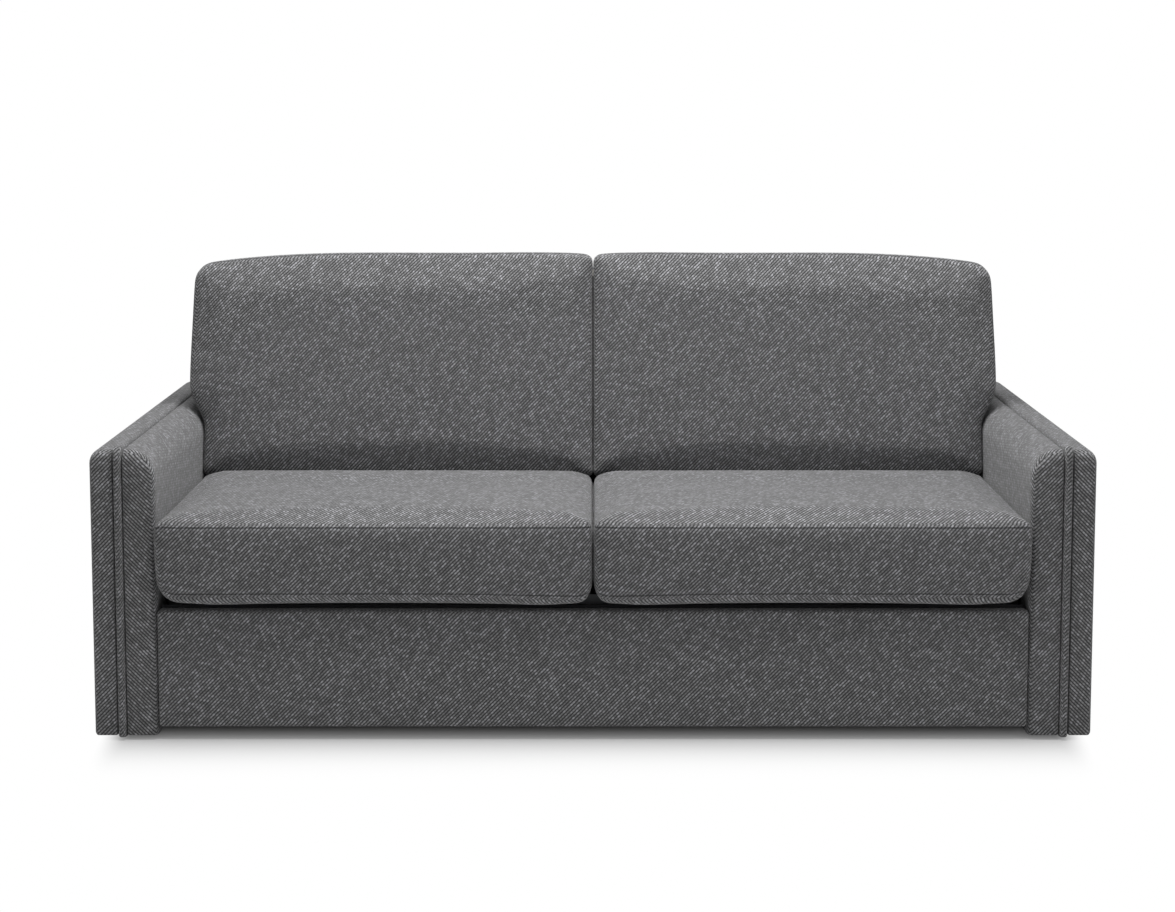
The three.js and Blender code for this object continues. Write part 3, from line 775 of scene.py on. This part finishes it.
def dressSeatCushions():
    low, high = cadBoxOf("seat_cushion_right")
    low.x, high.x = seatLook["reach"]
    middle = (low + high) / 2
    size = high - low
    settings = dict(seatLook)
    thickness = size.z - settings["lip"] - settings["puff"]
    slackAcross, slackAlong = settings["slack"]
    settings["size"] = (size.x - slackAcross, size.y - slackAlong, thickness)
    upper, lower = settings["seamsAt"]
    settings["seams"] = (thickness / 2 - upper, lower - thickness / 2)
    start, end = settings["lipOver"]

    def reshape(point, share):
        lift = (share[2] + 1) / 2
        across, along = 1 - share[0] ** 2, 1 - share[1] ** (4 if share[1] > 0 else 2)
        inLip = 1 - smoothStep(start, end, point.y + size.y / 2)
        point.z -= settings["lip"] * inLip * min(max(-2 * point.z / thickness, 0.0), 1.0)
        point.z += settings["crown"] * across * along * lift + settings["lip"] / 2 - settings["sink"]
        point.z -= settings["cornerDrop"] * lift * max(share[1], 0.0) ** 3 * share[0] ** 6
        point.x -= max(share[0], 0.0) * settings["drawn"] * along
        point.y -= share[1] * settings["drawn"] * across
        return point

    settings["reshape"] = reshape
    inFront, above = settings["bulge"]
    settings["keepLow"] = -size / 2 - Vector((0, inFront, 0))
    settings["keepHigh"] = size / 2 + Vector((0, 0, above))
    right = fillWithFoam(puffedBox("seatCushion_right", settings, cloth), settings)
    # Room for the swing arm and its tie tube, which lie against the cushion in the open bed
    barRoom, tubeRoom = seatLook["barRoom"], seatLook["tubeRoom"]
    start, end = (Vector(point) for point in barRoom["line"])
    across = Vector((start.y - end.y, end.x - start.x)).normalized()
    for vertex in right.data.vertices:
        place = vertex.co / mm + middle
        away = abs(across.dot(Vector((place.y, place.z)) - start))
        room = seatLook["reach"][1] - barRoom["x"]
        limit = barRoom["x"] + room * smoothStep(barRoom["from"], barRoom["to"], away)
        vertex.co.x = min(vertex.co.x, (limit - middle.x) * mm)
        away = abs(place.y - tubeRoom["y"])
        rise = tubeRoom["rise"] * smoothStep(tubeRoom["from"], tubeRoom["to"], away)
        vertex.co.z = min(vertex.co.z, (tubeRoom["z"] + rise - middle.z) * mm)
    left = mirroredCopy(right, "seatCushion_left")
    runOfCloth(right)
    for piece, side, sign in ((right, "right", 1), (left, "left", -1)):
        piece.matrix_world = Matrix.Translation(Vector((sign * middle.x, middle.y, middle.z)) * mm)
        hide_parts(f"seat_cushion_{side}")
        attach(piece, "seat_section")


# Back cushions, drawn upright at the back section's hinge and then leant back
backLook = {
    "x": (-5.6, 878.6),
    "start": 127,
    "top": 620,
    "thickness": 162,
    "offset": 10.4,
    "narrow": 34,
    "taper": 12,
    "spreadFrom": 236,
    "spreadOver": 90,
    "cornerDrop": (4, 26),
    "step": 14,
    "slack": (6, 8),  # of its face and of its depth, that the foam fills
    "seamsAt": 20,  # from its front and its rear
    "apart": 0.4,  # from the sofa's middle
    "bulge": (6, 8, 3),  # past its solid, beside, in front and above
    "crown": 12,
    "drawn": 3,
    "lowRound": 16,
    "highRound": 42,
    "roundShares": (0.8, 0.5, 1.0),
    "innerShares": (0.5, 0.5, 0.6),
    "panelAxis": 1,
    "cap": 10,
    "pull": 0.8,
}


def reachOverArm(height, armTop):
    # A back cushion lies half a millimetre off the arm's inner face, and over its round top edge
    share = min(max((height - armTop + armTopEdge) / armTopEdge, 0.0), 1.0)
    return interior - 0.5 + armTopEdge * (1 - math.sqrt(1 - share**2))


def dressBackCushions():
    settings = dict(backLook)
    x0, x1 = settings["x"]
    length = settings["top"] - settings["start"]
    slack, slackDepth = settings["slack"]
    settings["size"] = (x1 - x0 - slack, settings["thickness"] - slackDepth, length - slack)
    edge = settings["size"][1] / 2 - settings["seamsAt"]
    settings["seams"] = (-edge, edge)
    half = Vector((x1 - x0, settings["thickness"], length)) / 2
    middle = Vector(((x0 + x1) / 2, -settings["offset"] - half.y, settings["start"] + half.z))

    def reshape(point, share):
        across, along = 1 - share[0] ** 2, 1 - share[2] ** 2
        front = (1 - share[1]) / 2
        point.y -= settings["crown"] * across * along * front
        point.x -= max(share[0], 0.0) * settings["drawn"] * along
        height = point.z + middle.z - settings["spreadFrom"]
        opened = smoothStep(0, settings["spreadOver"], height)
        upward = min(max(height / (settings["top"] - settings["spreadFrom"]), 0.0), 1.0)
        narrowed = settings["narrow"] * (1 - opened) + settings["taper"] * upward**2
        point.x -= narrowed * (share[0] + 1) / 2
        drop = settings["cornerDrop"][0 if share[0] < 0 else 1]
        point.z -= drop * max(share[2], 0.0) * abs(share[0]) ** 2.6
        return point

    settings["reshape"] = reshape
    beside, inFront, above = settings["bulge"]
    settings["keepLow"] = Vector((settings["apart"] - middle.x, -half.y - inFront, -half.z))
    settings["keepHigh"] = half + Vector((beside, 0, above))
    right = fillWithFoam(puffedBox("backCushion_right", settings, cloth), settings)
    hinge = places["back_hinge"]
    turn = Matrix.Rotation(-lean, 3, "X")
    armTop = cadBoxOf("arm_inner_pad_right")[1].z
    for vertex in right.data.vertices:
        height = (hinge + turn @ (vertex.co + middle * mm)).z / mm
        vertex.co.x = min(vertex.co.x, (reachOverArm(height, armTop) - middle.x) * mm)
    left = mirroredCopy(right, "backCushion_left")
    runOfCloth(right)
    for piece, side, sign in ((right, "right", 1), (left, "left", -1)):
        piece.data.transform(Matrix.Translation(Vector((sign * middle.x, middle.y, middle.z)) * mm))
        tilted(piece, hinge, -lean)
        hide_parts(f"back_cushion_{side}")
        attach(piece, "back_section")


# The bed's sections. What dresses one is drawn flat at its hinge, and turned into its place
sections = {
    "seat": {"body": "seat_section", "hinge": "back_hinge", "turn": -math.pi},
    "back": {"body": "back_section", "hinge": "back_hinge", "turn": -math.pi / 2 - lean},
    "foot": {"body": "foot_section", "hinge": "foot_hinge", "turn": math.pi / 2 - lean},
}

# Mattress sections: quilted in diamonds on both faces, with a tape round each edge
mattressLook = {
    "width": 1529,
    "thickness": 97.5,
    "quilt": 58,
    "quiltPower": 0.45,
    "tuft": 5.5,
    "flatEdge": (0.12, 0.16),  # as shares of half the width and half the length
    "round": 15,
    "tape": 4.2,
    "tapeInset": 5,
    "tapeLevel": 38,
    "step": 12,
    # The section, the length, and the middle along and across the section
    "head": ("seat", 601, 303.5, 59.15),
    "middle": ("back", 594, -300, 59.15),
    "foot": ("foot", 699, -352.5, -50.85),
}


def mattressShape(name, width, length, thickness):
    edgeX, edgeY = mattressLook["flatEdge"]
    settings = {
        "size": (width, length, thickness),
        "step": mattressLook["step"],
        "lowRound": mattressLook["round"],
        "highRound": mattressLook["round"],
        "roundShares": (1, 1, 1),
        "innerShares": (1, 1, 1),
        "panelAxis": 2,
        "seams": (1e6,),  # none, so it is out of reach
    }

    def reshape(point, share):
        flat = smoothStep(0.0, edgeX, 1 - abs(share[0])) * smoothStep(0.0, edgeY, 1 - abs(share[1]))
        if abs(share[2]) > 0.999:
            a = (point.x + point.y) / mattressLook["quilt"] * math.pi / 2
            b = (point.x - point.y) / mattressLook["quilt"] * math.pi / 2
            hollow = 1 - (abs(math.sin(a)) * abs(math.sin(b))) ** mattressLook["quiltPower"]
            point.z -= math.copysign(mattressLook["tuft"] * hollow * flat, share[2])
        return point

    settings["reshape"] = reshape
    piece = subdivided(puffedBox(name, settings, tickingCloth))
    runOfCloth(piece)
    return piece


def edgeTape(name, width, length, level):
    inner, radius = mattressLook["round"], mattressLook["tape"]
    loop = cornerRing((-width / 2, width / 2), (-length / 2, length / 2), [inner] * 4, 0, 6)
    centre = [Vector((x, z, level)) for x, _, z in loop]
    upward = Vector((0, 0, 1))
    turns = [2 * math.pi * k / 8 for k in range(8)]
    rings = []
    for i, point in enumerate(centre):
        ahead = (centre[(i + 1) % len(centre)] - centre[i - 1]).normalized()
        aside = ahead.cross(upward)
        rings.append([point + radius * (math.cos(t) * aside + math.sin(t) * upward) for t in turns])
    tape = newPiece(name, [v for ring in rings for v in ring], bridged(rings, closed=True), tapeCloth)
    runOfCloth(tape)
    return tape


def dressMattresses():
    width, inset, level = (mattressLook[key] for key in ("width", "tapeInset", "tapeLevel"))
    for name in ("head", "middle", "foot"):
        sectionName, length, along, across = mattressLook[name]
        section = sections[sectionName]
        pad = mattressShape(f"mattress_{name}", width, length, mattressLook["thickness"])
        tapes = [
            edgeTape(f"mattressTape_{name}_{place}", width - inset, length - inset, height)
            for place, height in (("upper", level), ("lower", -level))
        ]
        for piece in (pad, *tapes):
            piece.data.transform(Matrix.Translation(Vector((0, along, across)) * mm))
            tilted(piece, places[section["hinge"]], section["turn"])
            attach(piece, section["body"])
        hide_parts(f"mattress_{name}")


# Rear cover: a padded board on the foot section, which closes the back of the folded sofa
coverLook = {
    "x": (-767.7, 767.7),
    "y": (120.5, 135.1),
    "z": (-704.8, -46.2),
    "end": 5,
    "corners": (18, 18, 18, 18),
    "spacing": 8,
}


def dressRearCover():
    cover = upholsteredBlock("rearCover", coverLook, cloth)
    tilted(cover, places["foot_hinge"], -lean)
    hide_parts("rear_cover")
    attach(cover, "foot_section")


# The steel frames, slats, pins and glides keep their CAD shapes
finishes = (
    ("_tube", blackSteel),
    ("side_rail", blackSteel),
    ("swing_arm_", blackSteel),
    ("_leg", blackSteel),
    ("_slat_", beech),
    ("_pin_", zinc),
    ("swing_arm_pivot", zinc),
    ("floor_glide", plastic),
)


def paintFrames():
    for name, node in frame["nodes"].items():
        for part, material in finishes:
            if part in name:
                node.data.materials.clear()
                node.data.materials.append(material)


# Linings close the frames behind the cushions, with each edge on a tube
liningLook = {
    "halfWidth": 776.5,
    "level": -9.2,
    "sag": 0.5,
    "grid": (24, 10),
    "seat": (41, 583),
    "back": (-555, -62),
}


def dressLinings():
    reach = liningLook["halfWidth"]
    columns, rows = liningLook["grid"]
    for name in ("seat", "back"):
        section = sections[name]
        y0, y1 = liningLook[name]
        vertices, faces = [], []
        for j in range(rows + 1):
            for i in range(columns + 1):
                u, v = i / columns, j / rows
                sag = liningLook["sag"] * math.sin(math.pi * u) * math.sin(math.pi * v)
                vertices.append((reach * (2 * u - 1), y0 + (y1 - y0) * v, liningLook["level"] + sag))
                if i and j:
                    last = len(vertices) - 1
                    faces.append((last - columns - 2, last - columns - 1, last, last - 1))
        cover = newPiece(f"frameLining_{name}", vertices, faces, lining)
        tilted(cover, places[section["hinge"]], section["turn"])
        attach(cover, section["body"])


# Moulded holders at both ends of every slat
holderLook = {
    "x": (747.4, 777.4),
    "bevels": (2.5, 1),  # of its inner and its outer end
    "width": 66,
    "thickness": 14.6,
    "round": 4,
    "levels": {"seat": 0, "back": 0, "foot": -110},
}


def dressHolders():
    x0, x1 = holderLook["x"]
    inBevel, outBevel = holderLook["bevels"]
    halfWidth, halfThickness = holderLook["width"] / 2, holderLook["thickness"] / 2
    for name, section in sections.items():
        turnBack = Matrix.Rotation(-section["turn"], 3, "X")
        level = holderLook["levels"][name]
        vertices, faces = [], []
        for number in (1, 2, 3, 4):
            low, high = cadBoxOf(f"{name}_slat_{number}")
            along = (turnBack @ ((low + high) / 2 - places[section["hinge"]] / mm)).y
            for sign in (-1, 1):
                rings = []
                for x, inset in ((x0, inBevel), (x0 + inBevel, 0), (x1 - outBevel, 0), (x1, outBevel)):
                    halfY, halfZ = halfWidth - inset, halfThickness - inset
                    corners = [max(holderLook["round"] - inset, 0.5)] * 4
                    yRange, zRange = (along - halfY, along + halfY), (level - halfZ, level + halfZ)
                    ring = cornerRing(yRange, zRange, corners, 0, 3)
                    rings.append([(sign * x, y, z) for y, _, z in ring])
                faces += bridged(rings, len(vertices))
                vertices += [v for ring in rings for v in ring]
        holders = newPiece(f"slatHolders_{name}", vertices, faces, plastic)
        tilted(holders, places[section["hinge"]], section["turn"])
        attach(holders, section["body"])


# Rubber sleeves on the bars of the legs, where they stand on the floor
sleeveLook = {
    "x": (610, 674),
    "radius": 12,
    "bore": 11.2,
    "bevel": (1.5, 0.4),  # along it, and off its radius
    "level": -151,
    "bars": {"mid_leg": -67 - 267, "foot_leg": -650 + 267},  # each leg is folded along the section
}


def dressSleeves():
    x0, x1 = sleeveLook["x"]
    outer, bore, level = (sleeveLook[key] for key in ("radius", "bore", "level"))
    bevel, less = sleeveLook["bevel"]
    half = [(x0, bore), (x0, outer - less), (x0 + bevel, outer)]
    stages = half + [(x0 + x1 - x, radius) for x, radius in reversed(half)]
    turns = [2 * math.pi * k / 24 for k in range(24)]
    for name, place in sleeveLook["bars"].items():
        vertices, faces = [], []
        for sign in (-1, 1):
            rings = [
                [(sign * x, place + r * math.cos(t), level + r * math.sin(t)) for t in turns]
                for x, r in stages
            ]
            faces += bridged(rings, len(vertices), closed=True)
            vertices += [v for ring in rings for v in ring]
        sleeves = newPiece(f"legSleeves_{name}", vertices, faces, plastic)
        tilted(sleeves, places["foot_hinge"], sections["foot"]["turn"])
        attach(sleeves, name)


dressArms()
dressBase()
print("arms and base dressed")
dressSeatCushions()
dressBackCushions()
print("cushions filled")
dressMattresses()
dressRearCover()
dressLinings()
dressHolders()
dressSleeves()
paintFrames()
print("bed sections dressed")


# Floor, lamps and camera
studio = {
    "floorColour": "#dcdcdc",
    "floorSize": 24,
    "floorLevel": -0.0005,
    "footprint": (0.897, 0.375, 1.0),
    "fadeShares": (5.5, 1.0, 0.0),  # beside the arms the white begins sooner than in front
    "fadeOver": 0.36,
    "sky": 0.26,
    "aim": (0.0, 0.0, 0.45),
    "top": {"place": (0.0, -0.45, 3.2), "size": (1.9, 1.8), "power": 106},
    "front": {"place": (-1.2, -4.6, 2.3), "size": (3.0, 2.4), "power": 4},
    "side": {"place": (3.6, -2.2, 2.0), "size": (2.2, 2.2), "power": 9},
}


def setFloor():
    # A matt grey floor, which fades to white away from the sofa
    bpy.ops.mesh.primitive_plane_add(size=studio["floorSize"], location=(0, 0, studio["floorLevel"]))
    floor = bpy.context.object
    floor.name = "studioFloor"
    material, tree = startMaterial("paintedFloor")
    paint = addNode(tree, "BsdfDiffuse", {"Color": linearColour(studio["floorColour"])})
    white = addNode(tree, "Emission", {"Color": (1, 1, 1, 1), "Strength": 1.0})
    steps = (
        ("ABSOLUTE", None),
        ("SUBTRACT", studio["footprint"]),
        ("MAXIMUM", (0.0, 0.0, 0.0)),
        ("MULTIPLY", studio["fadeShares"]),
        ("LENGTH", None),
    )
    away = addNode(tree, "NewGeometry").outputs["Position"]
    for operation, amount in steps:
        settings = {"operation": operation}
        if amount:
            settings[1] = amount
        node = addNode(tree, "VectorMath", settings, {0: away})
        away = node.outputs["Value" if operation == "LENGTH" else "Vector"]
    settings = {"interpolation_type": "SMOOTHSTEP", "From Min": 0.0, "From Max": studio["fadeOver"]}
    far = addNode(tree, "MapRange", settings, {0: away})
    seen = addNode(tree, "LightPath").outputs["Is Camera Ray"]
    share = addNode(tree, "Math", {"operation": "MULTIPLY"}, {0: far, 1: seen})
    mixed = addNode(tree, "MixShader", None, {0: share, 1: paint, 2: white})
    addNode(tree, "OutputMaterial", None, {"Surface": mixed})
    floor.data.materials.append(material)


def setSky():
    world = bpy.data.worlds.new("studioSky")
    bpy.context.scene.world = world
    world.use_nodes = True
    tree = world.node_tree
    tree.nodes.clear()
    # White as seen by the camera and in reflections, and dimmer as light
    path = addNode(tree, "LightPath").outputs
    rays = {0: path["Is Camera Ray"], 1: path["Is Glossy Ray"]}
    seen = addNode(tree, "Math", {"operation": "MAXIMUM"}, rays)
    settings = {"operation": "MULTIPLY_ADD", 1: 1.0 - studio["sky"], 2: studio["sky"]}
    strength = addNode(tree, "Math", settings, {0: seen})
    sky = addNode(tree, "Background", {"Color": (1, 1, 1, 1)}, {"Strength": strength})
    addNode(tree, "OutputWorld", None, {"Surface": sky})


def addLamp(name, settings):
    lamp = bpy.data.lights.new(name, "AREA")
    lamp.shape = "RECTANGLE"
    lamp.size, lamp.size_y = settings["size"]
    lamp.energy = settings["power"]
    holder = linked(name, lamp)
    holder.location = settings["place"]
    aim = Vector(studio["aim"]) - holder.location
    holder.rotation_euler = aim.to_track_quat("-Z", "Y").to_euler()


# The camera that was fitted to the photograph
cameraLook = {
    "place": (0.0, -4.624, 1.271),
    "pitch": 5.94,
    "sensor": 36,
    "photoWidth": 1175,
    "focal": 2193,  # in pixels, as the shift
    "shift": (-5.5, 308 - 456),
}


def setCamera():
    data = bpy.data.cameras.new("photoCamera")
    data.sensor_width = cameraLook["sensor"]
    data.lens = cameraLook["focal"] / cameraLook["photoWidth"] * cameraLook["sensor"]
    data.shift_x, data.shift_y = (part / cameraLook["photoWidth"] for part in cameraLook["shift"])
    camera = linked("photoCamera", data)
    camera.location = cameraLook["place"]
    camera.rotation_euler = (math.radians(90 - cameraLook["pitch"]), 0, 0)
    bpy.context.scene.camera = camera


setFloor()
setSky()
for lampName in ("top", "front", "side"):
    addLamp(f"{lampName}Softbox", studio[lampName])
setCamera()
bpy.context.scene.view_settings.view_transform = "Standard"
print("studio set")
